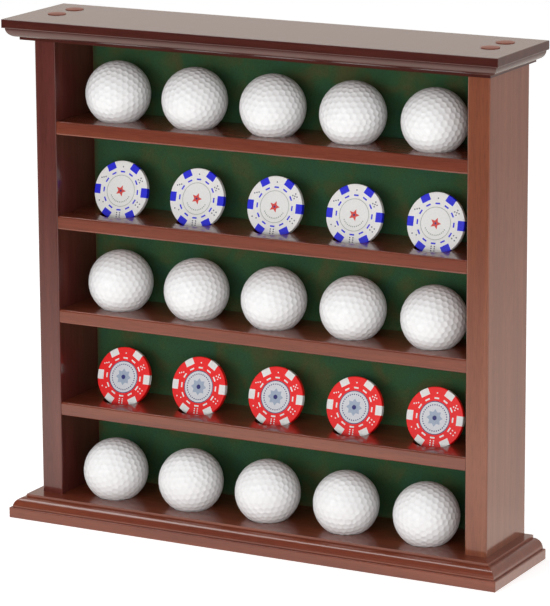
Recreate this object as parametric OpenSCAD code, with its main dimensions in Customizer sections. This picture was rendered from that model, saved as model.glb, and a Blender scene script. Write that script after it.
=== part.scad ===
// Open-fronted wooden display case for golf balls and ball-marker chips.
// Five rows of five round seats. Rows one, three and five hold golf balls, rows two and
// four hold chips that stand on edge in the same seats and lean back.
// X runs across the case, the open front faces -Y and Z is up. The origin is the centre
// of the rectangle that the case covers, at the underside of the base board.

/* [Case] */
// Clear width between the side panels
inner_w = 293; // [280:1:400]
// Thickness of each side panel
side_t = 15; // [13:0.5:22]
// Depth of the side panels, front to back
side_d = 58; // [57:1:80]
// Clear height of each row
row_h = 53.6; // [48:0.2:70]
// Thickness of each shelf
shelf_t = 9; // [8:0.5:14]
// How far the shelves stand back from the front of the side panels
shelf_setback = 0.8; // [0:0.1:3]
// Radius of the eased front edges of panels and shelves
edge_r = 1.2; // [0.5:0.1:2]

/* [Moulded boards] */
// How far the base board reaches past each side panel
base_lip_side = 14.8; // [11:0.2:24]
// How far the base board reaches in front of the side panels
base_lip_front = 19; // [12:0.5:30]
// Height of the plain band along the edge of the base board
base_band_h = 7; // [5:0.2:12]
// How far the crown board reaches past each side panel
crown_lip_side = 13.4; // [11:0.2:24]
// How far the crown board reaches in front of the side panels
crown_lip_front = 18.5; // [12:0.5:30]
// Height of the plain band along the edge of the crown board
crown_band_h = 5.8; // [5:0.2:12]
// Width of the small step between the band and the rounded moulding
ledge_w = 1.8; // [1:0.1:3]
// Radius of the rounded moulding
ovolo_r = 6.2; // [4:0.1:7]
// Step in from the rounded moulding to the small square fillet
fillet_w = 0.6; // [0.3:0.1:1]
// Height of the small square fillet
fillet_h = 1.9; // [1:0.1:3]
// Radius of the softened edges and corners of the band
band_ease = 0.6; // [0.3:0.1:1]

/* [Back] */
// How far the back panel lies inside the rear edges
back_inset = 2; // [0.5:0.5:3]
// Thickness of the back panel
back_t = 6; // [4:0.5:6]
// Thickness of the felt lining
felt_t = 2; // [1:0.1:2.5]
// Width of the rebate in each side panel that takes the back panel
rebate_w = 6; // [5:0.5:8]

/* [Seats] */
// Diameter of a golf ball
ball_d = 42.67; // [40:0.01:44]
// Diameter of each round seat
seat_d = 26; // [22:0.2:28]
// Distance from each side panel to the nearest seats
seat_end_x = 33.1; // [28:0.1:40]

/* [Chips] */
// Diameter of a chip
chip_d = 39.4; // [37:0.1:41]
// Thickness of a chip
chip_t = 3.3; // [2.8:0.1:4]
// How far back a standing chip leans, in degrees
chip_lean = 15; // [5:1:22]
// Radius of the rounded rim edges of a chip
chip_edge_r = 0.5; // [0.2:0.1:0.9]
// Diameter of the printed label in the middle of a chip
label_d = 21.4; // [16:0.1:22]
// Thickness of the label
label_t = 0.25; // [0.1:0.05:0.5]
// Width of each coloured edge spot along the rim
spot_w = 6.2; // [4:0.1:8]
// Length of each coloured edge spot inwards from the rim
spot_l = 4.6; // [3:0.1:5.5]
// Radius of the ring of dashes on each face
dash_ring_r = 12.5; // [12.3:0.1:13]
// Length of each dash
dash_l = 3.2; // [2:0.1:4]
// Width of each dash
dash_w = 1; // [0.6:0.1:1.2]
// Thickness of the hidden ring and arms that join the spots and dashes
web_t = 1; // [0.6:0.1:1.4]
// Width of the hidden arms
web_arm_w = 3; // [2:0.1:4]

/* [Fixings] */
// Diameter of the wood screws in the crown and base boards
screw_d = 4; // [3:0.5:5]
// Diameter of the screw heads
screw_head_d = 8; // [7:0.5:9]
// How far the crown and base screws reach into the side panels
screw_grip = 24; // [15:1:30]
// Distance of the front screws behind the front of the side panels
screw_front_y = 16.5; // [10:0.5:20]
// Distance between the front and rear screws
screw_gap_y = 22; // [16:0.5:28]
// Diameter of the caps over the crown screws
cap_d = 12; // [10:0.5:12.5]
// Depth of the recess that takes a cap
cap_depth = 3.5; // [2.5:0.1:5]
// How far a cap stands above the crown board
cap_rise = 1; // [0.6:0.1:2]
// Height of the straight edge of a cap below its dome
cap_edge_h = 0.4; // [0.1:0.1:0.5]
// Depth of the recesses for the base screw heads
base_recess_depth = 3; // [1:0.5:5]
// Diameter of the shelf dowels
dowel_d = 5; // [4:0.5:6]
// How far each dowel reaches into the shelf and into the side panel
dowel_reach = 9.5; // [7:0.5:10.5]
// Distance of the front dowels behind the front of the side panels
dowel_front_y = 13; // [9:0.5:16]
// Distance between the front and rear dowels
dowel_gap_y = 24; // [16:0.5:26]
// Diameter of the back panel screws
back_screw_d = 3; // [2.5:0.5:3.5]
// Diameter of the back panel screw heads
back_screw_head_d = 5.4; // [4.5:0.1:6]
// How far the back panel screws reach past the back panel
back_screw_grip = 12; // [8:1:16]
// Distance of the first and last back screws from the ends of the side panels
back_screw_end = 28; // [15:1:40]

/* [Hidden] */
// Clearances
glue_gap = 0.05;      // between glued wooden faces
dowel_gap = 0.05;     // round each dowel and at the bottom of its hole
screw_gap = 0.05;     // round each screw
panel_gap = 0.1;      // round the back panel and the felt
rest_gap = 0.3;       // between a ball or chip and what it rests on
seat_floor_gap = 0.4; // between a resting ball and the floor of its seat
label_gap = 0.05;     // round each label
cap_gap = 0.05;       // round each cap
cut = 1;              // how far a cutting shape runs past the face that it cuts

ROWS = 5;
COLUMNS = 5;
BACK_SCREWS = 4;
SPOTS = 6;
DASHES = 12;
ball_rows = ["top", "middle", "bottom"];
chip_rows = ["white", "red"];
$fn = 96;

// Heights
base_h = base_band_h + ovolo_r + fillet_h;
crown_h = crown_band_h + ovolo_r + fillet_h;
inner_h = ROWS * row_h + (ROWS - 1) * shelf_t;
crown_z = base_h + inner_h;
total_h = crown_z + crown_h;
// Top surface that row 1 (top) to row 5 (bottom) stands on
function floor_z(row) = base_h + (ROWS - row) * (row_h + shelf_t);

// Depths, measured from the front of the side panels, and where that front lies
case_w = inner_w + 2 * side_t;
front_lip = max(base_lip_front, crown_lip_front);
panel_front_y = front_lip - (side_d + front_lip) / 2;
ledge_y = side_d - back_inset - back_t;
felt_y = ledge_y - felt_t;
inset_total = ledge_w + ovolo_r + fillet_w;

// Seats
ball_r = ball_d / 2;
seat_r = seat_d / 2;
seat_pitch = (inner_w - 2 * seat_end_x) / (COLUMNS - 1);
ball_sink = ball_r - sqrt(ball_r * ball_r - seat_r * seat_r) - rest_gap;
// Each row of seats is centred between the front edge of its board and the felt
function seat_x(column) = (column - (COLUMNS + 1) / 2) * seat_pitch;
function seat_y(row) = (felt_y + (row == ROWS ? -base_lip_front : shelf_setback)) / 2;

// A leaning chip rests on both sides of the seat's rim, with the back of its edge
// where the seat is widest. Its middle then lies this high above the shelf and this far
// behind the middle of the seat, and its edge reaches this far into the seat.
chip_r = chip_d / 2;
chip_side = chip_t / 2 - chip_edge_r;
chip_over_rim = sqrt(chip_r * chip_r - pow(seat_r - rest_gap, 2));
chip_mid_z = chip_over_rim * cos(chip_lean) + chip_side * sin(chip_lean);
chip_mid_y = chip_mid_z * tan(chip_lean) - chip_side / cos(chip_lean);
chip_sink = (chip_r - chip_edge_r) * cos(chip_lean) + chip_side * sin(chip_lean)
    + chip_edge_r - chip_mid_z;
seat_depth = max(ball_sink + seat_floor_gap, chip_sink) + rest_gap;

// Screws and dowels
side_mid_x = inner_w / 2 + side_t / 2;
screw_ys = [screw_front_y, screw_front_y + screw_gap_y];
dowel_ys = [dowel_front_y, dowel_front_y + dowel_gap_y];
ledge_mid_x = inner_w / 2 + rebate_w / 2;
head_h = (screw_head_d - screw_d) / 2;
back_head_h = (back_screw_head_d - back_screw_d) / 2;
crown_screw_l = crown_h - cap_depth + screw_grip;
base_screw_l = base_h - base_recess_depth + screw_grip;
back_screw_l = back_t + back_screw_grip;
back_screw_step = (inner_h - 2 * back_screw_end) / (BACK_SCREWS - 1);

WOOD = [0.45, 0.19, 0.13];
DARK_WOOD = [0.36, 0.14, 0.10];
CAP_WOOD = [0.66, 0.40, 0.32];
FELT = [0.11, 0.27, 0.14];
PLY = [0.62, 0.48, 0.33];
STEEL = [0.72, 0.72, 0.74];
WHITE = [0.94, 0.94, 0.93];
BLUE = [0.20, 0.20, 0.80];
RED = [0.86, 0.12, 0.13];
LABEL = [0.90, 0.90, 0.88];

// Rectangle from corner a to corner b
module span(a, b) {
    translate(a) square(b - a);
}

// Rectangle from a to b whose left corners, and right corners if asked, are rounded
module eased_span(a, b, r, right = true) {
    right_x = right ? b[0] - r : b[0];
    span([a[0] + r, a[1]], [right_x, b[1]]);
    span([a[0], a[1] + r], [b[0], b[1] - r]);
    for (y = [a[1] + r, b[1] - r]) {
        translate([a[0] + r, y]) circle(r);
        if (right) translate([b[0] - r, y]) circle(r);
    }
}

// Section of a moulded board from the bottom up: band, step, rounded moulding, fillet.
// The moulding runs along the left edge, and along the right edge if asked.
module board_section(left, right, band_h, right_moulded) {
    round_z = band_h + ovolo_r;
    right_in = right_moulded ? 1 : 0;
    left_c = left + ledge_w + ovolo_r;
    right_c = right - right_in * (ledge_w + ovolo_r);
    eased_span([left, 0], [right, band_h], band_ease, right_moulded);
    span([left_c, band_h / 2], [right_c, round_z]);
    intersection() {
        translate([left_c, band_h]) circle(ovolo_r);
        span([left_c - ovolo_r, band_h], [left_c, round_z]);
    }
    if (right_moulded) intersection() {
        translate([right_c, band_h]) circle(ovolo_r);
        span([right_c, band_h], [right_c + ovolo_r, round_z]);
    }
    span([left + inset_total, band_h / 2], [right - right_in * inset_total, round_z + fillet_h]);
}

// Board with the moulding along both sides and the front, mitred at the front corners.
// Its back is flush with the side panels and its underside is at z = 0.
module moulded_board(lip_side, lip_front, band_h) {
    half_w = case_w / 2 + lip_side;
    board_h = band_h + ovolo_r + fillet_h;
    intersection() {
        translate([0, side_d + cut, 0]) rotate([90, 0, 0])
            linear_extrude(side_d + lip_front + 2 * cut)
                board_section(-half_w, half_w, band_h, true);
        translate([-half_w - cut, 0, 0]) rotate([90, 0, 90])
            linear_extrude(2 * (half_w + cut))
                board_section(-lip_front, side_d, band_h, false);
        translate([0, 0, -cut]) linear_extrude(board_h + 2 * cut) rotate(90)
            eased_span([-lip_front, -half_w], [side_d, half_w], band_ease, false);
    }
}

// Everything inside is placed from the front of the side panels
module from_panel_front() {
    translate([0, panel_front_y, 0]) children();
}

// Countersunk wood screw along -Z with the top of its head at z = 0
module wood_screw(d, head_d, length) {
    head = (head_d - d) / 2;
    tip = d;
    recess_l = 0.6 * head_d;
    recess_w = 0.2 * d;
    recess_h = 0.6 * head;
    difference() {
        union() {
            translate([0, 0, -head]) cylinder(h = head, r1 = d / 2, r2 = head_d / 2);
            translate([0, 0, tip - length]) cylinder(h = length - tip - head / 2, r = d / 2);
            translate([0, 0, -length]) cylinder(h = tip, r1 = d / 10, r2 = d / 2);
        }
        for (a = [0, 90]) rotate(a)
            translate([-recess_l / 2, -recess_w / 2, -recess_h]) cube([recess_l, recess_w, recess_h + cut]);
    }
}

// Hole for that screw, open above with a recess of the given depth and diameter
module screw_hole(d, head_d, length, recess_d, recess_depth) {
    head = (head_d - d) / 2;
    hole_r = d / 2 + screw_gap;
    translate([0, 0, -length - screw_gap]) cylinder(h = length + screw_gap, r = hole_r);
    translate([0, 0, -head]) cylinder(h = head, r1 = hole_r, r2 = head_d / 2 + screw_gap);
    cylinder(h = recess_depth + cut, r = recess_d / 2);
}

// Places of the crown screws, at the top of the side panels
module at_crown_screws() {
    for (s = [-1, 1], y = screw_ys)
        translate([s * side_mid_x, y, total_h - cap_depth]) children();
}

// Places of the base screws, which point up from the underside
module at_base_screws() {
    for (s = [-1, 1], y = screw_ys)
        translate([s * side_mid_x, y, base_recess_depth]) rotate([180, 0, 0]) children();
}

// Places of the back panel screws, which point forwards
module at_back_screws(sides) {
    for (s = sides, i = [0:BACK_SCREWS - 1])
        translate([s * ledge_mid_x, side_d - back_inset, base_h + back_screw_end + i * back_screw_step])
            rotate([-90, 0, 0]) children();
}

module crown_screw_holes() {
    at_crown_screws()
        screw_hole(screw_d, screw_head_d, crown_screw_l, cap_d, cap_depth);
}

module base_screw_holes() {
    at_base_screws()
        screw_hole(screw_d, screw_head_d, base_screw_l, screw_head_d + 2 * screw_gap, base_recess_depth);
}

module back_screw_holes(sides) {
    at_back_screws(sides)
        screw_hole(back_screw_d, back_screw_head_d, back_screw_l, back_screw_head_d + 2 * screw_gap, 0);
}

// Dowels at both ends of every shelf, made longer and wider by the given gap
module dowel_pins(gap) {
    for (s = [-1, 1], y = dowel_ys, row = [1:ROWS - 1])
        translate([s * inner_w / 2, y, floor_z(row) - shelf_t / 2]) rotate([0, 90, 0])
            cylinder(h = 2 * (dowel_reach + gap), r = dowel_d / 2 + gap, center = true);
}

// Round seats along one row
module row_seats(row) {
    for (c = [1:COLUMNS]) translate([seat_x(c), seat_y(row), floor_z(row) - seat_depth])
        cylinder(h = seat_depth + cut, r = seat_r);
}

module crown_board() {
    color(DARK_WOOD) from_panel_front() difference() {
        translate([0, 0, total_h]) mirror([0, 0, 1])
            moulded_board(crown_lip_side, crown_lip_front, crown_band_h);
        crown_screw_holes();
    }
}

module base_board() {
    color(DARK_WOOD) from_panel_front() difference() {
        moulded_board(base_lip_side, base_lip_front, base_band_h);
        base_screw_holes();
        row_seats(ROWS);
    }
}

// side is -1 for the left panel and 1 for the right panel
module side_panel(side) {
    inner_x = inner_w / 2;
    color(WOOD) from_panel_front() difference() {
        translate([0, 0, base_h]) linear_extrude(inner_h) scale([side, 1])
            rotate(90) mirror([0, 1])
                eased_span([0, inner_x], [side_d, inner_x + side_t], edge_r, false);
        scale([side, 1, 1]) translate([inner_x - cut, ledge_y, base_h - cut])
            cube([rebate_w + cut, side_d - ledge_y + cut, inner_h + 2 * cut]);
        crown_screw_holes();
        base_screw_holes();
        back_screw_holes([side]);
        dowel_pins(dowel_gap);
    }
}

// Shelf under the given row
module shelf(row) {
    color(WOOD) from_panel_front() difference() {
        translate([glue_gap - inner_w / 2, 0, 0]) rotate([90, 0, 90])
            linear_extrude(inner_w - 2 * glue_gap)
                eased_span([shelf_setback, floor_z(row) - shelf_t], [felt_y, floor_z(row)], edge_r, false);
        dowel_pins(dowel_gap);
        row_seats(row);
    }
}

module back_panel() {
    half_w = inner_w / 2 + rebate_w - panel_gap;
    color(PLY) from_panel_front() difference() {
        translate([-half_w, ledge_y, base_h + panel_gap])
            cube([2 * half_w, back_t, inner_h - 2 * panel_gap]);
        back_screw_holes([-1, 1]);
    }
}

module felt_lining() {
    half_w = inner_w / 2 - panel_gap;
    color(FELT) from_panel_front()
        translate([-half_w, felt_y, base_h + panel_gap])
            cube([2 * half_w, felt_t, inner_h - 2 * panel_gap]);
}

module crown_screws() {
    color(STEEL) from_panel_front() at_crown_screws()
        wood_screw(screw_d, screw_head_d, crown_screw_l);
}

module base_screws() {
    color(STEEL) from_panel_front() at_base_screws()
        wood_screw(screw_d, screw_head_d, base_screw_l);
}

module back_panel_screws() {
    color(STEEL) from_panel_front() at_back_screws([-1, 1])
        wood_screw(back_screw_d, back_screw_head_d, back_screw_l);
}

module shelf_dowels() {
    color(PLY) from_panel_front() dowel_pins(0);
}

// Turned wooden cap with a low dome that covers a screw head
module crown_screw_caps() {
    cap_r = cap_d / 2 - cap_gap;
    rim_z = cap_depth + cap_edge_h;
    dome_h = cap_rise - cap_edge_h;
    dome_r = (cap_r * cap_r + dome_h * dome_h) / (2 * dome_h);
    color(CAP_WOOD) from_panel_front() at_crown_screws() rotate_extrude() {
        span([0, 0], [cap_r, rim_z]);
        intersection() {
            translate([0, rim_z + dome_h - dome_r]) circle(dome_r);
            span([0, rim_z], [cap_r, rim_z + dome_h]);
        }
    }
}

module golf_ball(row, column) {
    color(WHITE) from_panel_front()
        translate([seat_x(column), seat_y(row), floor_z(row) + ball_r - ball_sink])
            sphere(ball_r);
}

// Places a chip that is modelled lying flat, so that it faces the front and leans back in
// its seat
module stand_chip(row, column) {
    from_panel_front()
        translate([seat_x(column), seat_y(row) + chip_mid_y, floor_z(row) + chip_mid_z])
            rotate([90 - chip_lean, 0, 0]) children();
}

module chip_blank() {
    flat_r = chip_r - chip_edge_r;
    rotate_extrude() {
        span([0, -chip_t / 2], [flat_r, chip_t / 2]);
        span([0, -chip_side], [chip_r, chip_side]);
        for (s = [-1, 1]) intersection() {
            translate([flat_r, s * chip_side]) circle(chip_edge_r);
            span([0, -chip_t / 2], [chip_r, chip_t / 2]);
        }
    }
}

// The second colour of the moulding: edge spots and dashes that show on both faces,
// joined inside the chip by a thin ring and arms
module insert_web() {
    spot_in = chip_r - spot_l;
    for (i = [0:SPOTS - 1]) rotate(i * 360 / SPOTS) {
        translate([spot_in, -spot_w / 2, -chip_t]) cube([spot_l + cut, spot_w, 2 * chip_t]);
        translate([dash_ring_r, -web_arm_w / 2, -web_t / 2])
            cube([spot_in - dash_ring_r + cut, web_arm_w, web_t]);
    }
    for (i = [0:DASHES - 1]) rotate(i * 360 / DASHES)
        translate([dash_ring_r - dash_w / 2, -dash_l / 2, -chip_t]) cube([dash_w, dash_l, 2 * chip_t]);
    difference() {
        cylinder(h = web_t, r = dash_ring_r + dash_w / 2, center = true);
        cylinder(h = web_t + cut, r = dash_ring_r - dash_w / 2, center = true);
    }
}

module chip_body(row, column, shade) {
    color(shade) stand_chip(row, column) difference() {
        chip_blank();
        insert_web();
        for (s = [-1, 1]) translate([0, 0, s * (chip_t / 2 - label_t / 2 + cut / 2)])
            cylinder(h = label_t + cut, r = label_d / 2, center = true);
    }
}

module chip_inserts(row, column, shade) {
    color(shade) stand_chip(row, column) intersection() {
        chip_blank();
        insert_web();
    }
}

module chip_labels(row, column) {
    color(LABEL) stand_chip(row, column)
        for (s = [-1, 1]) translate([0, 0, s * (chip_t / 2 - label_t / 2)])
            cylinder(h = label_t, r = label_d / 2 - label_gap, center = true);
}

crown_board();
base_board();
side_panel(-1);  // left_side_panel
side_panel(1);  // right_side_panel
for (i = [1:ROWS - 1]) {
    shelf(i);
}
back_panel();
felt_lining();
crown_screws();
crown_screw_caps();
base_screws();
shelf_dowels();
back_panel_screws();
for (i = [0:len(ball_rows) - 1], c = [1:COLUMNS]) {
    golf_ball(2 * i + 1, c);
}
for (c = [1:COLUMNS]) {
    chip_body(2, c, WHITE);
    chip_inserts(2, c, BLUE);
    chip_labels(2, c);
    chip_body(4, c, RED);
    chip_inserts(4, c, WHITE);
    chip_labels(4, c);
}
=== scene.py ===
# %% [markdown]
# # Golf ball display case
# A mahogany-lacquered case with five open rows: three rows of golf balls and two rows of
# chips that stand on edge and lean back a little. The solids of the case come from a CAD
# frame. This script adds what the frame leaves out: the dimples of the balls, the felt, the
# marks on the chips and the finish of every surface. Each step says what the real thing is,
# and why it is made so.

import math
import random

import bmesh
import bpy
from mathutils import Euler, Matrix, Vector


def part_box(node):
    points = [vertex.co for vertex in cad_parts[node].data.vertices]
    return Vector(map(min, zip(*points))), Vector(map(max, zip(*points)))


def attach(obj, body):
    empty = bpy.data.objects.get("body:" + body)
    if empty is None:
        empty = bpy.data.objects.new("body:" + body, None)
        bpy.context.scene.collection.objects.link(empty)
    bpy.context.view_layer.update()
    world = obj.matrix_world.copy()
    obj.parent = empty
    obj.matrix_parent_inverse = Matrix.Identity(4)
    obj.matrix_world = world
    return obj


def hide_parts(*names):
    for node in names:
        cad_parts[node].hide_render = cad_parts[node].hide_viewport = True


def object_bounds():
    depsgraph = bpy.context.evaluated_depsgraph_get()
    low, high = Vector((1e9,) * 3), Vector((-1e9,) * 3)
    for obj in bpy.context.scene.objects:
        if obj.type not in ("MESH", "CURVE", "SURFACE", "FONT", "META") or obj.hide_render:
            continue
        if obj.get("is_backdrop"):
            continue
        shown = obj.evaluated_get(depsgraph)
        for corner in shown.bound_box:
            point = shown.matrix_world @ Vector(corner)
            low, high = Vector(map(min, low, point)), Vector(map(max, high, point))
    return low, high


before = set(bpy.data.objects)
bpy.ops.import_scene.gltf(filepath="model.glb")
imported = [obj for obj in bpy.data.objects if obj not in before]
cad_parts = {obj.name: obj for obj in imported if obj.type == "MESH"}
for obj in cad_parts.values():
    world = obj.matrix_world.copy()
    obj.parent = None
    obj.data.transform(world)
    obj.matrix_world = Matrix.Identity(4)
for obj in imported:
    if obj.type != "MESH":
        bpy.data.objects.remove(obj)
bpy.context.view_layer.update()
MM = 0.001

# %% [markdown]
# ## The camera
# The photograph looks at the case from its right and a little above, from over two metres
# away with a long lens. A camera that circles an aim point by azimuth and elevation is
# easier to match than one placed by hand. The picture was straightened, so its uprights
# hardly converge. A small downward lens shift gives part of that.

# %% Camera
IMAGE_LONG_SIDE = 606
FOCAL_PIXELS = 3523
SENSOR_MM = 36
CAMERA_AZIMUTH = 28.03
CAMERA_ELEVATION = 12.2
CAMERA_ROLL = -0.29
CAMERA_DISTANCE = 2.25
CAMERA_SHIFT = -0.12
aim = Vector((-1.5, 9.5, 202)) * MM


def look_from(azimuth, elevation, roll, distance, target):
    """World matrix of a camera that looks at the target; the angles are in degrees."""
    a, e, r = (math.radians(v) for v in (azimuth, elevation, roll))
    back = Vector((math.sin(a) * math.cos(e), -math.cos(a) * math.cos(e), math.sin(e)))
    level_right = Vector((0, 0, 1)).cross(back).normalized()
    level_up = back.cross(level_right)
    right = math.cos(r) * level_right + math.sin(r) * level_up
    up = math.cos(r) * level_up - math.sin(r) * level_right
    matrix = Matrix((right, up, back)).transposed().to_4x4()
    matrix.translation = target + back * distance
    return matrix


lens = bpy.data.cameras.new("photo_camera")
lens.sensor_width = SENSOR_MM
lens.lens = FOCAL_PIXELS / IMAGE_LONG_SIDE * SENSOR_MM
lens.shift_y = CAMERA_SHIFT
camera = bpy.data.objects.new("photo_camera", lens)
bpy.context.scene.collection.objects.link(camera)
camera.matrix_world = look_from(
    CAMERA_AZIMUTH, CAMERA_ELEVATION, CAMERA_ROLL, CAMERA_DISTANCE, aim)
bpy.context.scene.camera = camera
print("lens", round(lens.lens, 1), "mm")

# %% [markdown]
# ## Colours and nodes
# Colours are easiest to read as sRGB hex values, but shaders add light in linear values, so
# one function converts them. Another adds a shader or geometry node: its settings are
# keyword arguments, its inputs are a dictionary of plain values or of other sockets, and a
# colour ramp also takes its stops. Named colours and short calls keep the recipes readable.

# %% Helpers


def hex_colour(text, alpha=1.0):
    """Linear RGBA from an sRGB hex value such as '#7a3c2a'."""
    values = [int(text[i:i + 2], 16) / 255 for i in (1, 3, 5)]
    linear = [v / 12.92 if v <= 0.04045 else ((v + 0.055) / 1.055) ** 2.4 for v in values]
    return (*linear, alpha)


def feed(tree, node, inputs):
    """Fills inputs by name or number. A value is a plain one, an output, or a node that
    stands for its first output in use."""
    for key, value in inputs.items():
        if isinstance(value, bpy.types.Node):
            value = next(output for output in value.outputs if output.enabled)
        if isinstance(value, bpy.types.NodeSocket):
            tree.links.new(value, node.inputs[key])
        else:
            node.inputs[key].default_value = value


def add_node(tree, kind, inputs=None, stops=(), **settings):
    """Adds a node with its settings and links. The stops are those of a colour ramp, each
    a position and a hex colour."""
    node = tree.nodes.new(kind)
    for name, value in settings.items():
        setattr(node, name, value)
    for number, (position, colour) in enumerate(stops):
        ramp = node.color_ramp.elements
        stop = ramp[number] if number < 2 else ramp.new(position)
        stop.position, stop.color = position, hex_colour(colour)
    feed(tree, node, inputs or {})
    return node


def new_material(name):
    """A material with its node tree, its Principled shader and its Object coordinates."""
    material = bpy.data.materials.new(name)
    material.use_nodes = True
    tree = material.node_tree
    place = add_node(tree, "ShaderNodeTexCoord").outputs["Object"]
    return material, tree, tree.nodes["Principled BSDF"], place


print("white is", hex_colour("#ffffff"))

# %% [markdown]
# ## The studio
# The case stands on white, and the backdrop must look white to the camera. If the world were
# that white for every ray, it would wash the wood out. Light Path separates the rays. Camera
# and transmission rays see pure white. Matte surfaces get a grey that is darker overhead, as
# under a ceiling, so the crown doesn't look bleached. Glossy rays see the room as a
# photographer lights it: a slightly warm white behind and beside the case, and dark where
# the camera and the photographer stand, which keeps the lacquer deep red.

# %% World
AMBIENT = 0.9
CEILING = 0.2
ROOM_FRONT = 0.03
ROOM_BACK = 0.77

world = bpy.data.worlds.new("white_studio")
bpy.context.scene.world = world
world.use_nodes = True
tree = world.node_tree
tree.nodes.clear()
path = add_node(tree, "ShaderNodeLightPath")
seen = add_node(tree, "ShaderNodeMath", {
    0: path.outputs["Is Camera Ray"], 1: path.outputs["Is Transmission Ray"]},
    operation="MAXIMUM")
direction = add_node(tree, "ShaderNodeTexCoord").outputs["Generated"]
axes = add_node(tree, "ShaderNodeSeparateXYZ", {0: direction}).outputs
soft = add_node(tree, "ShaderNodeMapRange", {
    "Value": axes["Z"], "From Min": 0.0, "From Max": 0.8, "To Min": AMBIENT, "To Max": CEILING})
room = add_node(tree, "ShaderNodeMapRange", {
    "Value": axes["Y"], "From Min": -0.5, "From Max": 0.1,
    "To Min": ROOM_FRONT, "To Max": ROOM_BACK})
white = hex_colour("#ffffff")
ambient = add_node(tree, "ShaderNodeBackground", {"Color": white, "Strength": soft})
warm_white = hex_colour("#fbeee4")
mirrored = add_node(tree, "ShaderNodeBackground", {"Color": warm_white, "Strength": room})
backdrop = add_node(tree, "ShaderNodeBackground", {"Color": white, "Strength": 1.0})
lit = add_node(tree, "ShaderNodeMixShader", {
    0: path.outputs["Is Glossy Ray"], 1: ambient, 2: mirrored})
shown = add_node(tree, "ShaderNodeMixShader", {0: seen, 1: lit, 2: backdrop})
add_node(tree, "ShaderNodeOutputWorld", {"Surface": shown})
print("world nodes:", len(tree.nodes))

# %% [markdown]
# The floor is a matte white sheet with the same split. To the camera it is a little brighter
# than its paper, so that it ends in the white backdrop without a line and still keeps a soft
# shadow. In the lacquer it is as warm a white as the room, and falls off from bright round
# the case to the dark front of the room. Lit paper is brighter than a picture can show, so
# its reflection may be up to twice as bright as the white of the picture.

# %% Floor
FLOOR_SIZE = 8.0
FLOOR_GLOW = 0.62
FLOOR_IN_LACQUER = 2.1
ROOM_HALF_DEPTH = 1.4

paper, tree, shader, place = new_material("white_paper_floor")
tree.nodes.remove(shader)
path = add_node(tree, "ShaderNodeLightPath")
glow = add_node(tree, "ShaderNodeMath", {
    0: path.outputs["Is Camera Ray"], 1: FLOOR_GLOW}, operation="MULTIPLY")
matte = add_node(tree, "ShaderNodeBsdfDiffuse", {"Color": hex_colour("#f2f2f2")})
extra = add_node(tree, "ShaderNodeEmission", {"Strength": glow})
sheet = add_node(tree, "ShaderNodeAddShader", {0: matte, 1: extra})
depth = add_node(tree, "ShaderNodeSeparateXYZ", {0: place}).outputs["Y"]
along = add_node(tree, "ShaderNodeMapRange", {
    "Value": depth, "From Min": -ROOM_HALF_DEPTH, "From Max": ROOM_HALF_DEPTH})
fading = add_node(tree, "ShaderNodeValToRGB", {"Fac": along},
                  stops=((0.03, "#0a0a0a"), (0.15, "#3a3735"), (0.26, "#b0a9a3"),
                         (0.42, "#fff1e6"), (0.55, "#bdb5ae"), (0.95, "#908a86")))
mirrored = add_node(tree, "ShaderNodeEmission", {
    "Color": fading, "Strength": FLOOR_IN_LACQUER})
shown = add_node(tree, "ShaderNodeMixShader", {
    0: path.outputs["Is Glossy Ray"], 1: sheet, 2: mirrored})
feed(tree, tree.nodes["Material Output"], {"Surface": shown})

bpy.ops.mesh.primitive_plane_add(size=FLOOR_SIZE)
floor = bpy.context.object
floor.name = "floor"
floor.data.materials.append(paper)
floor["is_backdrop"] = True
print("floor", floor.dimensions[:])

# %% [markdown]
# The shadows on the felt lie about 10 degrees right of the balls and chips and a little
# below them. So the key lamp stands left of the middle, not much higher than the case, and
# is small enough to leave an edge. The wide, low front lamp fills those shadows and reaches
# the lower halves of the balls. The lacquer would mirror it as a pale strip, so glossy rays
# don't see it. The side lamp lights the right panel and the ends of the boards, far enough
# round to leave the inside dark. The last one hangs high at the left, and draws the light
# line along the moulding of the base.

# %% Lamps
LAMP_AIM = Vector((0, 0, 160)) * MM


def softbox(name, azimuth, elevation, distance, width, height, power):
    """A flat area lamp that shines on the middle of the case."""
    lamp_data = bpy.data.lights.new(name, "AREA")
    lamp_data.shape = "RECTANGLE"
    lamp_data.size, lamp_data.size_y = width, height
    lamp_data.energy = power
    lamp = bpy.data.objects.new(name, lamp_data)
    bpy.context.scene.collection.objects.link(lamp)
    lamp.matrix_world = look_from(azimuth, elevation, 0, distance, LAMP_AIM)
    return lamp


softbox("key_softbox", azimuth=-12, elevation=16, distance=2.4, width=0.5, height=0.5, power=5.5)
fill = softbox("front_softbox", azimuth=11, elevation=6, distance=2.4, width=2.5, height=0.8,
               power=23)
fill.visible_glossy = False
softbox("side_softbox", azimuth=98, elevation=24, distance=2.4, width=1.2, height=1.2, power=10)
softbox("top_softbox", azimuth=-80, elevation=62, distance=2.0, width=0.8, height=0.8, power=11)
bpy.context.scene.view_settings.view_transform = "Standard"
print("lamps:", len(bpy.data.lights))

# %% [markdown]
# ## Lacquered mahogany
# The boards are mahogany, or a like timber stained to look so, under a sprayed clear gloss
# lacquer. The wood itself gives a deep red brown with fine dark pores and slow, wide bands
# along the grain. The lacquer lies over it as a second, smooth layer, so it is a coat on
# the shader and not more gloss on the wood: looked along, it picks up the white studio.
# Grain could be painted as an image, but noise stretched along one axis gives the same in
# any size. The panels are cut with the grain upright and the other boards with it across,
# so the axis is an argument. So are the colours: the crown gets the darkest. The panels
# carry painted light and shade: the left one's deeper red is painted shade and the right
# one's paler orange brown is painted light, because the light falls stronger on the right.

# %% Mahogany
PORE_LENGTH_MM = 9
PORE_WIDTH_MM = 0.35
BAND_LENGTH_MM = 160
BAND_WIDTH_MM = 7


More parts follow.
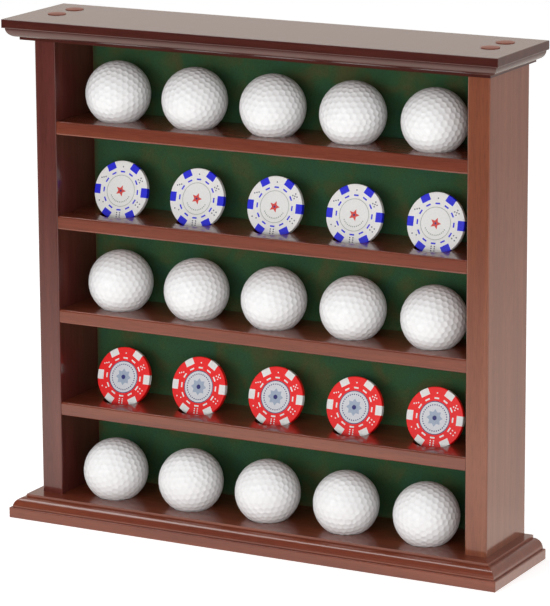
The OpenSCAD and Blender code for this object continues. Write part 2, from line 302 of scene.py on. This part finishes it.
def grain_noise(tree, place, axis, length_mm, width_mm, **inputs):
    """Noise stretched along one axis, to grains of the given length and width."""
    scale = [1 / (width_mm * MM)] * 3
    scale[axis] = 1 / (length_mm * MM)
    mapping = add_node(tree, "ShaderNodeMapping", {"Vector": place, "Scale": scale})
    return add_node(tree, "ShaderNodeTexNoise", {"Vector": mapping, "Scale": 1.0, **inputs})


def mahogany(name, axis, dark, middle, light):
    """Red brown stained wood under lacquer: the eye sees deep colour with a shine over it."""
    material, tree, shader, place = new_material(name)
    # Slow bands of the stain, and dark pores, which show as short dull streaks. Real pores
    # are about half as wide: they are drawn as coarse as they need to show.
    bands = grain_noise(tree, place, axis, BAND_LENGTH_MM, BAND_WIDTH_MM,
                        Detail=3.0, Roughness=0.55, Distortion=0.4)
    pores = grain_noise(tree, place, axis, PORE_LENGTH_MM, PORE_WIDTH_MM,
                        Detail=2.0, Roughness=0.6)
    stain = add_node(tree, "ShaderNodeValToRGB", {"Fac": bands},
                     stops=((0.25, dark), (0.5, middle), (0.75, light)))
    streaks = add_node(tree, "ShaderNodeValToRGB", {"Fac": pores},
                       stops=((0.36, "#a8a8a8"), (0.52, "#ffffff")))
    wood = add_node(tree, "ShaderNodeMix", {0: 0.35, 6: stain, 7: streaks},
                    data_type="RGBA", blend_type="MULTIPLY")
    # The sprayed skin isn't quite flat, so reflections waver and have soft edges
    ripple = add_node(tree, "ShaderNodeTexNoise", {"Vector": place, "Scale": 1 / (4 * MM)})
    skin = add_node(tree, "ShaderNodeBump", {
        "Height": ripple, "Strength": 0.15, "Distance": 0.05 * MM})
    feed(tree, shader, {
        "Base Color": wood, "Coat Normal": skin, "Roughness": 0.5, "Specular IOR Level": 0.15,
        "Coat Weight": 1.0, "Coat Roughness": 0.13, "Coat IOR": 1.5})
    return material


across = mahogany("lacquered_mahogany_across", 0, "#6d3020", "#793824", "#85412b")
# The left panel's deeper red is painted shade and the right panel's paler orange brown is painted
# light: the light falls stronger on the right.
left_panel_painted_shade = mahogany("lacquered_mahogany_left_painted_shade", 2, "#56251f", "#602b25", "#6b332c")
right_panel_painted_light = mahogany("lacquered_mahogany_right_painted_light", 2, "#763f2d", "#82472f", "#8d5138")
crown_stain = mahogany("lacquered_mahogany_crown", 0, "#3c130f", "#471811", "#532017")


def finish(node, material):
    """Gives every material slot of a CAD node the same finish."""
    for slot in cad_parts[node].material_slots:
        slot.material = material


board_finishes = {
    "crown_board": crown_stain, "left_side_panel": left_panel_painted_shade, "right_side_panel": right_panel_painted_light,
    "shelf_1": across, "shelf_2": across, "shelf_3": across, "shelf_4": across,
    "base_board": across}
for board, material in board_finishes.items():
    finish(board, material)
print("boards finished:", len(board_finishes))

# %% [markdown]
# ## The small wooden and steel parts
# The caps over the crown screws are turned from a paler wood and only wiped with satin
# lacquer. The dowels are raw beech and the back is sanded plywood, both without any gloss.
# The screws are zinc-plated steel, a metal with a soft, slightly mottled shine. None of
# them needs a mesh of its own, because the frame has their true shapes: only the finish
# was missing.

# %% Caps, dowels, plywood and screws


def plain_wood(name, axis, dark, light, roughness, coat, band_mm=4):
    """Unstained wood: pale, dry and faintly ribbed along the grain."""
    material, tree, shader, place = new_material(name)
    bands = grain_noise(tree, place, axis, 12 * band_mm, band_mm, Detail=4.0, Roughness=0.6)
    tone = add_node(tree, "ShaderNodeValToRGB", {"Fac": bands},
                    stops=((0.3, dark), (0.7, light)))
    bump = add_node(tree, "ShaderNodeBump", {
        "Height": bands, "Strength": 0.3, "Distance": 0.1 * MM})
    feed(tree, shader, {
        "Base Color": tone, "Normal": bump, "Roughness": roughness,
        "Coat Weight": coat, "Coat Roughness": 0.3})
    return material


def zinc_plate(name):
    """Plated steel: a pale, cool metal whose shine is broken up by cloudy crystals."""
    material, tree, shader, place = new_material(name)
    mottle = add_node(tree, "ShaderNodeTexNoise", {
        "Vector": place, "Scale": 1 / (1.5 * MM), "Detail": 3.0})
    tone = add_node(tree, "ShaderNodeValToRGB", {"Fac": mottle},
                    stops=((0.35, "#a9a9a4"), (0.65, "#c6c5bd")))
    gloss = add_node(tree, "ShaderNodeMapRange", {
        "Value": mottle, "To Min": 0.28, "To Max": 0.42})
    feed(tree, shader, {"Base Color": tone, "Roughness": gloss, "Metallic": 1.0})
    return material


finish("crown_screw_caps", plain_wood("turned_cap_wood", 0, "#84402c", "#9c5540", 0.5, 0.3, 1.5))
finish("shelf_dowels", plain_wood("raw_beech", 0, "#b08f66", "#c9a97e", 0.7, 0.0, 1.5))
finish("back_panel", plain_wood("sanded_plywood", 2, "#a48560", "#b8996f", 0.75, 0.0, 2))
zinc = zinc_plate("zinc_plated_steel")
for screws in ("crown_screws", "base_screws", "back_panel_screws"):
    finish(screws, zinc)
print("small parts finished")

# %% [markdown]
# ## The felt lining
# The back of the rows is lined with one sheet of thin green wool felt, glued flat to the
# plywood. It never hangs or folds, so a cloth simulation would add nothing. What the eye
# needs is a soft surface that isn't quite flat, with short fibres and a cloudy nap. The
# sheet is a fine grid whose front dips by a few tenths of a millimetre, closed by Solidify.

# %% Felt sheet
FELT_CELL = 4 * MM
FELT_DIP = 0.3 * MM


def felt_sheet(name):
    """The sheet as a fine grid in the felt's place, and its width and height."""
    low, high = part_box("felt_lining")
    width, height = high.x - low.x, high.z - low.z
    columns, rows = round(width / FELT_CELL), round(height / FELT_CELL)
    shape = bmesh.new()
    bmesh.ops.create_grid(shape, x_segments=columns, y_segments=rows, size=0.5)
    dips = random.Random(7)
    waves = [(dips.uniform(20, 70), dips.uniform(20, 70), dips.uniform(0, 6)) for _ in range(5)]
    for v in shape.verts:
        x, z = v.co.x * width, v.co.y * height
        wave = sum(math.sin(a * x + b * z + c) for a, b, c in waves) / len(waves)
        dip = FELT_DIP * (0.5 + 0.5 * wave)
        v.co = ((low.x + high.x) / 2 + x, low.y + dip, (low.z + high.z) / 2 + z)
    bmesh.ops.recalc_face_normals(shape, faces=shape.faces)
    shape.normal_update()
    if sum(f.normal.y for f in shape.faces) > 0:
        bmesh.ops.reverse_faces(shape, faces=shape.faces)
    mesh = bpy.data.meshes.new(name)
    shape.to_mesh(mesh)
    shape.free()
    mesh.shade_smooth()
    piece = bpy.data.objects.new(name, mesh)
    bpy.context.scene.collection.objects.link(piece)
    thick = piece.modifiers.new("felt_thickness", "SOLIDIFY")
    thick.thickness = high.y - low.y - FELT_DIP
    thick.offset = -1
    return piece, (width, height)


def wool_felt(name):
    """Pressed wool: dull and deep, clouded where the nap lies another way, with pale fuzz."""
    material, tree, shader, place = new_material(name)
    clouds = add_node(tree, "ShaderNodeTexNoise", {
        "Vector": place, "Scale": 1 / (22 * MM), "Detail": 4.0, "Roughness": 0.6,
        "Distortion": 0.6})
    # Wool fibres are far finer than a pixel, so these stand for whole tufts, 0.9 mm wide
    fibres = add_node(tree, "ShaderNodeTexNoise", {
        "Vector": place, "Scale": 1 / (0.9 * MM), "Detail": 4.0, "Roughness": 0.7,
        "Distortion": 1.5})
    nap = add_node(tree, "ShaderNodeValToRGB", {"Fac": clouds},
                   stops=((0.3, "#175944"), (0.5, "#255b3b"), (0.7, "#4c5636")))
    lint = add_node(tree, "ShaderNodeValToRGB", {"Fac": fibres},
                    stops=((0.35, "#b0b0b0"), (0.65, "#ffffff")))
    wool = add_node(tree, "ShaderNodeMix", {0: 0.8, 6: nap, 7: lint},
                    data_type="RGBA", blend_type="MULTIPLY")
    fuzz = add_node(tree, "ShaderNodeBump", {
        "Height": fibres, "Strength": 0.5, "Distance": 0.3 * MM})
    feed(tree, shader, {
        "Base Color": wool, "Normal": fuzz, "Roughness": 0.95, "Specular IOR Level": 0.1,
        "Sheen Weight": 0.35, "Sheen Roughness": 0.8, "Sheen Tint": hex_colour("#a8704a")})
    return material


felt, felt_size = felt_sheet("felt_sheet")
felt.data.materials.append(wool_felt("green_wool_felt"))
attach(felt, "case")
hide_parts("felt_lining")
print("felt is", [round(s / MM, 1) for s in felt_size], "mm")

# %% [markdown]
# ## The dimpled balls
# A golf ball is a moulded sphere with some 350 shallow round dimples in a pattern of
# triangles. A sphere with a bumpy material would keep a smooth outline, and carving 350
# holes with booleans is slow. A rule does it better: a 20-sided solid whose sides are cut
# into triangles gives one point for each dimple. On a sphere those points crowd together
# near the 12 corners, so every edge is treated as a spring until they are nearly even.

# %% Dimple layout
TRIANGLE_CUTS = 5
EVENING_STEPS = 12
SPRING = 0.15


def dimple_layout(name):
    """Unit sphere with one vertex at the middle of each dimple."""
    shape = bmesh.new()
    bmesh.ops.create_icosphere(shape, subdivisions=1, radius=1.0)
    bmesh.ops.subdivide_edges(
        shape, edges=shape.edges, cuts=TRIANGLE_CUTS, use_grid_fill=True)
    for _ in range(EVENING_STEPS):
        for v in shape.verts:
            v.co.normalize()
        spacing = sum(e.calc_length() for e in shape.edges) / len(shape.edges)
        for e in shape.edges:
            a, b = e.verts
            push = (b.co - a.co) * SPRING * (1 - spacing / e.calc_length())
            a.co += push
            b.co -= push
    for v in shape.verts:
        v.co.normalize()
    mesh = bpy.data.meshes.new(name)
    shape.to_mesh(mesh)
    shape.free()
    return mesh


layout = dimple_layout("dimple_layout")
print("dimples on a ball:", len(layout.vertices))

# %% [markdown]
# The tree splits each triangle of the layout into a fine mesh, so there are always four
# faces from the middle of a dimple to its rim. Every fine point then looks for the nearest
# dimple and sinks by the rule of a shallow bowl: deepest in the middle, and nothing at the
# rim. Where dimples meet, the smooth shading rounds the ridge, as the paint does on a ball.

# %% Dimple tree
FINE_LEVEL = 3


def dimpled_ball_tree():
    """The tree, and the identifier of each of its named inputs."""
    tree = bpy.data.node_groups.new("dimpled_ball", "GeometryNodeTree")
    sockets = {}
    for name, kind in (("Layout", "Geometry"), ("Ball Radius", "Float"), ("Centre", "Vector"),
                       ("Dimple Share", "Float"), ("Dimple Depth", "Float"),
                       ("Cover", "Material")):
        sockets[name] = tree.interface.new_socket(
            name, in_out="INPUT", socket_type="NodeSocket" + kind).identifier
    tree.interface.new_socket("Ball", in_out="OUTPUT", socket_type="NodeSocketGeometry")
    given = add_node(tree, "NodeGroupInput").outputs
    here = add_node(tree, "GeometryNodeInputPosition")
    outwards = add_node(tree, "ShaderNodeVectorMath", {0: here}, operation="NORMALIZE")

    # The middle of the nearest dimple, and how far that is from here
    nearest = add_node(tree, "GeometryNodeSampleNearest", {
        "Geometry": given["Layout"], "Sample Position": outwards}, domain="POINT")
    middle = add_node(tree, "GeometryNodeSampleIndex", {
        "Geometry": given["Layout"], "Index": nearest, "Value": here},
        data_type="FLOAT_VECTOR", domain="POINT")
    away = add_node(tree, "ShaderNodeVectorMath", {0: outwards, 1: middle}, operation="DISTANCE")

    # The rim of that dimple, from the mean distance to the dimples round it
    ends = add_node(tree, "GeometryNodeInputMeshEdgeVertices")
    spacing = add_node(tree, "ShaderNodeVectorMath", {
        0: ends.outputs["Position 1"], 1: ends.outputs["Position 2"]}, operation="DISTANCE")
    on_edge = add_node(tree, "GeometryNodeFieldOnDomain", {0: spacing},
                       data_type="FLOAT", domain="EDGE")
    around = add_node(tree, "GeometryNodeSampleIndex", {
        "Geometry": given["Layout"], "Index": nearest, "Value": on_edge},
        data_type="FLOAT", domain="POINT")
    half = add_node(tree, "ShaderNodeMath", {0: around, 1: 0.5}, operation="MULTIPLY")
    rim = add_node(tree, "ShaderNodeMath", {0: half, 1: given["Dimple Share"]},
                   operation="MULTIPLY")

    # A bowl: one minus the square of the way from the middle to the rim, never below zero
    way = add_node(tree, "ShaderNodeMath", {0: away, 1: rim}, operation="DIVIDE")
    square = add_node(tree, "ShaderNodeMath", {0: way, 1: way}, operation="MULTIPLY")
    bowl = add_node(tree, "ShaderNodeMath", {0: 1.0, 1: square},
                    operation="SUBTRACT", use_clamp=True)
    drop = add_node(tree, "ShaderNodeMath", {0: bowl, 1: given["Dimple Depth"]},
                    operation="MULTIPLY")
    height = add_node(tree, "ShaderNodeMath", {0: given["Ball Radius"], 1: drop},
                      operation="SUBTRACT")
    surface = add_node(tree, "ShaderNodeVectorMath", {0: outwards, "Scale": height},
                       operation="SCALE")
    placed = add_node(tree, "ShaderNodeVectorMath", {0: surface, 1: given["Centre"]},
                      operation="ADD")

    fine = add_node(tree, "GeometryNodeSubdivideMesh", {
        "Mesh": given["Layout"], "Level": FINE_LEVEL})
    moved = add_node(tree, "GeometryNodeSetPosition", {"Geometry": fine, "Position": placed})
    smooth = add_node(tree, "GeometryNodeSetShadeSmooth", {"Geometry": moved})
    real = add_node(tree, "GeometryNodeRealizeInstances", {"Geometry": smooth})
    covered = add_node(tree, "GeometryNodeSetMaterial", {
        "Geometry": real, "Material": given["Cover"]})
    add_node(tree, "NodeGroupOutput", {0: covered})
    return tree, sockets


ball_tree, ball_sockets = dimpled_ball_tree()
print("ball tree has", len(ball_tree.nodes), "nodes")

# %% [markdown]
# The cover is moulded urethane under a clear polyurethane paint: pure white, with a soft
# gloss that gives each dimple a small light edge. The dimples are real geometry, so the
# material only adds the faint unevenness of sprayed paint. No two balls lie alike, so each
# layout is turned at random, from a fixed seed.

# %% Balls
COLUMNS = 5
DIMPLE_SHARE = 0.98
DIMPLE_DEPTH = 0.36 * MM


def grow(name, layout, tree, values):
    """Runs a geometry tree on a mesh and returns its result as a plain object at the origin."""
    piece = bpy.data.objects.new(name, layout)
    bpy.context.scene.collection.objects.link(piece)
    modifier = piece.modifiers.new(tree.name, "NODES")
    modifier.node_group = tree
    for socket, value in values.items():
        modifier[socket] = value
    evaluated = piece.evaluated_get(bpy.context.evaluated_depsgraph_get())
    mesh = bpy.data.meshes.new_from_object(evaluated)
    piece.modifiers.clear()
    piece.data = mesh
    mesh.name = name
    return piece


def urethane_cover(name):
    """Painted urethane: clean white, and soft highlights that show every dimple."""
    material, tree, shader, place = new_material(name)
    paint = add_node(tree, "ShaderNodeTexNoise", {"Vector": place, "Scale": 1 / (3 * MM)})
    tone = add_node(tree, "ShaderNodeValToRGB", {"Fac": paint},
                    stops=((0.3, "#f3f3f3"), (0.7, "#f9f9f9")))
    skin = add_node(tree, "ShaderNodeBump", {
        "Height": paint, "Strength": 0.1, "Distance": 0.03 * MM})
    feed(tree, shader, {
        "Base Color": tone, "Normal": skin, "Roughness": 0.45, "Specular IOR Level": 0.3,
        "Coat Weight": 0.35, "Coat Roughness": 0.12})
    return material


cover = urethane_cover("white_urethane_cover")
turns = random.Random(3)
for row in ("top", "middle", "bottom"):
    for column in range(1, COLUMNS + 1):
        node = f"ball_{row}_{column}"
        low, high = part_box(node)
        turned = layout.copy()
        turn = Euler([turns.uniform(0, math.tau) for _ in range(3)])
        turned.transform(turn.to_matrix().to_4x4())
        ball = grow(f"dimpled_{node}", turned, ball_tree, {
            ball_sockets["Ball Radius"]: (high.z - low.z) / 2,
            ball_sockets["Centre"]: list((low + high) / 2),
            ball_sockets["Dimple Share"]: DIMPLE_SHARE,
            ball_sockets["Dimple Depth"]: DIMPLE_DEPTH,
            ball_sockets["Cover"]: cover})
        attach(ball, node)
        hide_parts(node)
print("ball radius", round((high.z - low.z) / 2 / MM, 2), "mm, faces", len(ball.data.polygons))

# %% [markdown]
# ## The chips
# The chips are moulded in two shots: a ring of one colour with edge spots and dashes of the
# other. The plastic is a filled ABS, satin, with the very fine pebbled skin of its mould.
# The frame has both shots as solids, so they only need their plastic. The label is printed
# paper under clear film in a shallow recess, flatter and glossier than the plastic. One
# function makes both, because film is only a smoother skin with a thin gloss over it.

# %% Chip plastics and labels


def pebbled_abs(name, low_tone, high_tone, roughness=0.42, pebble=0.35, film=0.0):
    """Moulded plastic: strong, even colour, and a satin sheen that the pebbles break up."""
    material, tree, shader, place = new_material(name)
    # The pebbles are drawn about three times as coarse as the real ones, to show at all
    pebbles = add_node(tree, "ShaderNodeTexNoise", {
        "Vector": place, "Scale": 1 / (0.8 * MM), "Detail": 2.0})
    tone = add_node(tree, "ShaderNodeValToRGB", {"Fac": pebbles},
                    stops=((0.3, low_tone), (0.7, high_tone)))
    skin = add_node(tree, "ShaderNodeBump", {
        "Height": pebbles, "Strength": pebble, "Distance": 0.05 * MM})
    feed(tree, shader, {
        "Base Color": tone, "Normal": skin, "Roughness": roughness,
        "Coat Weight": film, "Coat Roughness": 0.08})
    return material


white_abs = pebbled_abs("white_abs", "#e6e5e3", "#efeeed")
blue_abs = pebbled_abs("blue_abs", "#1216d2", "#1a1ee6")
red_abs = pebbled_abs("red_abs", "#f00b10", "#fb1216")
white_label = pebbled_abs("white_label_film", "#e9e9e7", "#f1f1ef", 0.3, 0.1, 0.8)
grey_label = pebbled_abs("pale_grey_label_film", "#d6d8de", "#dfe1e6", 0.3, 0.1, 0.8)
for column in range(1, COLUMNS + 1):
    finish(f"white_chip_{column}_body", white_abs)
    finish(f"white_chip_{column}_inserts", blue_abs)
    finish(f"white_chip_{column}_labels", white_label)
    finish(f"red_chip_{column}_body", red_abs)
    finish(f"red_chip_{column}_inserts", white_abs)
    finish(f"red_chip_{column}_labels", grey_label)
print("chips finished:", 2 * COLUMNS)

# %% [markdown]
# ## What is printed on the chips
# Between the edge spots, both faces carry small dice pips, from one to six. The label has a
# plain star in a ring of beads. A picture of the print would be quick, but it would blur
# close up and can't be resized. So the print is thin ink solids, grown by one tree for
# both kinds of chip: each chip hands it its sizes, its counts and its inks.

# %% Pip layout
PIP_RING_RADIUS = 15.8 * MM
PIP_STEP = 1.1 * MM
PIP_FACES = {
    90: [(0, 0)],
    30: [(-1, -1), (-1, 1), (0, 0), (1, -1), (1, 1)],
    330: [(-1, -1), (-1, 1), (1, -1), (1, 1)],
    270: [(-1, -1.25), (-1, 0), (-1, 1.25), (1, -1.25), (1, 0), (1, 1.25)],
    210: [(-1, 1), (1, -1)],
    150: [(-1, -1), (0, 0), (1, 1)],
}


def pip_layout(name):
    """Loose vertices where the pips of one face lie, each group turned to face the rim."""
    mesh = bpy.data.meshes.new(name)
    points = []
    for degrees, pips in PIP_FACES.items():
        angle = math.radians(degrees)
        radial = Vector((math.cos(angle), math.sin(angle), 0))
        along = Vector((-math.sin(angle), math.cos(angle), 0))
        points += [radial * (PIP_RING_RADIUS + v * PIP_STEP) + along * u * PIP_STEP
                   for u, v in pips]
    mesh.from_pydata(points, [], [])
    return mesh


print("pips on a face:", sum(len(pips) for pips in PIP_FACES.values()))

# %% [markdown]
# In the tree, one short line as thick as the ink is the path of three profiles: a star, a
# small disc for its middle and a ring line. Pips and beads are few-sided discs, put on the
# pip layout and on an arc. The finished face is turned half round for the back of the chip,
# and both are laid on the chip, which leans back in its seat.

# %% Print tree
PRINT_SIZES = {
    "Pips": "Geometry", "Chip Thickness": "Float", "Ink Thickness": "Float",
    "Centre": "Vector", "Turn": "Vector",
    "Pip Radius": "Float", "Pip Ink": "Material",
    "Beads": "Int", "Bead Radius": "Float", "Bead Ring": "Float", "Bead Start": "Float",
    "Bead Sweep": "Float", "Bead Ink": "Material",
    "Line Radius": "Float", "Line Width": "Float", "Line Ink": "Material",
    "Star Points": "Int", "Star Outer": "Float", "Star Inner": "Float", "Star Ink": "Material",
    "Core Radius": "Float", "Core Ink": "Material",
}


def chip_print_tree():
    """The tree, and the identifier of each of its named inputs."""
    tree = bpy.data.node_groups.new("chip_print", "GeometryNodeTree")
    sockets = {name: tree.interface.new_socket(
        name, in_out="INPUT", socket_type="NodeSocket" + kind).identifier
        for name, kind in PRINT_SIZES.items()}
    tree.interface.new_socket("Print", in_out="OUTPUT", socket_type="NodeSocketGeometry")
    given = add_node(tree, "NodeGroupInput").outputs
    half = add_node(tree, "ShaderNodeMath", {0: given["Ink Thickness"], 1: 0.5},
                    operation="MULTIPLY")
    top = add_node(tree, "ShaderNodeCombineXYZ", {"Z": half})
    bottom = add_node(tree, "ShaderNodeVectorMath", {0: top, "Scale": -1.0}, operation="SCALE")
    through = add_node(tree, "GeometryNodeCurvePrimitiveLine", {"Start": bottom, "End": top})
    parts = []

    # Star and middle: profiles swept through the ink
    star = add_node(tree, "GeometryNodeCurveStar", {
        "Points": given["Star Points"], "Outer Radius": given["Star Outer"],
        "Inner Radius": given["Star Inner"]}).outputs["Curve"]
    core = add_node(tree, "GeometryNodeCurvePrimitiveCircle", {
        "Resolution": 16, "Radius": given["Core Radius"]})
    for profile, ink, rise in ((star, "Star Ink", 0.0), (core, "Core Ink", 0.5)):
        solid = add_node(tree, "GeometryNodeCurveToMesh", {
            "Curve": through, "Profile Curve": profile, "Fill Caps": True})
        lift = add_node(tree, "ShaderNodeVectorMath", {0: top, "Scale": rise}, operation="SCALE")
        raised = add_node(tree, "GeometryNodeTransform", {"Geometry": solid, "Translation": lift})
        parts.append((raised, ink))

    # The line round the label: a flat profile swept round a circle
    circle = add_node(tree, "GeometryNodeCurvePrimitiveCircle", {
        "Resolution": 48, "Radius": given["Line Radius"]})
    strip = add_node(tree, "GeometryNodeCurvePrimitiveQuadrilateral", {
        "Width": given["Line Width"], "Height": given["Ink Thickness"]})
    line = add_node(tree, "GeometryNodeCurveToMesh", {"Curve": circle, "Profile Curve": strip})
    parts.append((line, "Line Ink"))

    # Beads and pips: small discs on points
    arc = add_node(tree, "GeometryNodeCurveArc", {
        "Resolution": given["Beads"], "Radius": given["Bead Ring"],
        "Start Angle": given["Bead Start"], "Sweep Angle": given["Bead Sweep"]}, mode="RADIUS")
    for points, radius, ink in ((arc, "Bead Radius", "Bead Ink"),
                                (given["Pips"], "Pip Radius", "Pip Ink")):
        disc = add_node(tree, "GeometryNodeMeshCylinder", {
            "Vertices": 10, "Radius": given[radius],
            "Depth": given["Ink Thickness"]}).outputs["Mesh"]
        discs = add_node(tree, "GeometryNodeInstanceOnPoints", {
            "Points": points, "Instance": disc})
        parts.append((discs, ink))

    # Each part becomes real mesh in its own ink. Then one face, and its twin for the back
    joined = add_node(tree, "GeometryNodeJoinGeometry")
    for part, ink in parts:
        real = add_node(tree, "GeometryNodeRealizeInstances", {"Geometry": part})
        inked = add_node(tree, "GeometryNodeSetMaterial", {
            "Geometry": real, "Material": given[ink]})
        tree.links.new(inked.outputs[0], joined.inputs[0])
    middle = add_node(tree, "ShaderNodeMath", {0: given["Chip Thickness"], 1: 0.5},
                      operation="MULTIPLY")
    out = add_node(tree, "ShaderNodeCombineXYZ", {"Z": middle})
    front = add_node(tree, "GeometryNodeTransform", {"Geometry": joined, "Translation": out})
    back = add_node(tree, "GeometryNodeTransform", {
        "Geometry": front, "Rotation": Euler((0, math.pi, 0))})
    both = add_node(tree, "GeometryNodeJoinGeometry")
    for face in (front, back):
        tree.links.new(face.outputs[0], both.inputs[0])
    laid = add_node(tree, "GeometryNodeTransform", {
        "Geometry": both, "Translation": given["Centre"], "Rotation": given["Turn"]})
    mesh = add_node(tree, "GeometryNodeRealizeInstances", {"Geometry": laid})
    add_node(tree, "NodeGroupOutput", {0: mesh})
    return tree, sockets


print_tree, print_sockets = chip_print_tree()
print("print tree has", len(print_tree.nodes), "nodes")

# %% [markdown]
# The inks are screen printed: dense, flat colours with a faint gloss and tiny pinholes. The
# lean and the thickness are those of the chips in the frame, so the ink lies on them. The
# red chips have a grey blue star with a navy middle on their label, in a full ring of navy
# beads. The white chips have a smaller red star over an arc of grey beads.

# %% Printed chips
CHIP_THICKNESS = 3.3 * MM
CHIP_LEAN = math.radians(15)
INK_THICKNESS = 0.05 * MM


def screen_ink(name, low_tone, high_tone):
    """Screen ink: a flat, dense colour, a little duller where pinholes let the white in."""
    material, tree, shader, place = new_material(name)
    # Pinholes are drawn at 0.4 mm, several times their real width, to show at all
    pinholes = add_node(tree, "ShaderNodeTexNoise", {
        "Vector": place, "Scale": 1 / (0.4 * MM), "Detail": 2.0})
    tone = add_node(tree, "ShaderNodeValToRGB", {"Fac": pinholes},
                    stops=((0.3, low_tone), (0.6, high_tone)))
    feed(tree, shader, {"Base Color": tone, "Roughness": 0.35})
    return material


white_ink = screen_ink("white_ink", "#e2e0e0", "#f2f1f1")
slate_ink = screen_ink("slate_ink", "#4b4c63", "#5d5e74")
navy_ink = screen_ink("navy_ink", "#26266a", "#33337c")
grey_blue_ink = screen_ink("grey_blue_ink", "#93a3bb", "#a9b6c8")
red_ink = screen_ink("red_ink", "#cf3a34", "#df4b42")
grey_ink = screen_ink("grey_ink", "#8f978f", "#a1a8a0")
PRINTS = {
    "white": {"Pip Ink": slate_ink, "Beads": 13, "Bead Start": math.radians(208),
              "Bead Sweep": math.radians(124), "Bead Ring": 7.4 * MM, "Bead Ink": grey_ink,
              "Bead Radius": 0.42 * MM, "Line Radius": 10.2 * MM, "Line Width": 0.3 * MM,
              "Line Ink": grey_ink, "Star Points": 5, "Star Outer": 3.9 * MM,
              "Star Inner": 1.8 * MM, "Star Ink": red_ink, "Core Radius": 0.7 * MM,
              "Core Ink": navy_ink},
    "red": {"Pip Ink": white_ink, "Beads": 34, "Bead Start": 0.0,
            "Bead Sweep": math.radians(360 * 33 / 34), "Bead Ring": 8.3 * MM,
            "Bead Ink": navy_ink, "Bead Radius": 0.42 * MM, "Line Radius": 10.4 * MM,
            "Line Width": 0.45 * MM, "Line Ink": navy_ink, "Star Points": 8,
            "Star Outer": 5.6 * MM, "Star Inner": 3.9 * MM, "Star Ink": grey_blue_ink,
            "Core Radius": 1.5 * MM, "Core Ink": navy_ink},
}
for colour, sizes in PRINTS.items():
    for column in range(1, COLUMNS + 1):
        chip = f"{colour}_chip_{column}"
        low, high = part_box(f"{chip}_body")
        values = {
            "Chip Thickness": CHIP_THICKNESS, "Ink Thickness": INK_THICKNESS,
            "Centre": list((low + high) / 2), "Turn": [math.pi / 2 - CHIP_LEAN, 0, 0],
            "Pip Radius": 0.48 * MM, **sizes}
        marks = grow(f"{chip}_print", pip_layout(f"{chip}_pips"), print_tree, {
            print_sockets[name]: value for name, value in values.items()})
        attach(marks, chip)
print("faces in one print:", len(marks.data.polygons))

# %% The bounds of the object
low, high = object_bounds()
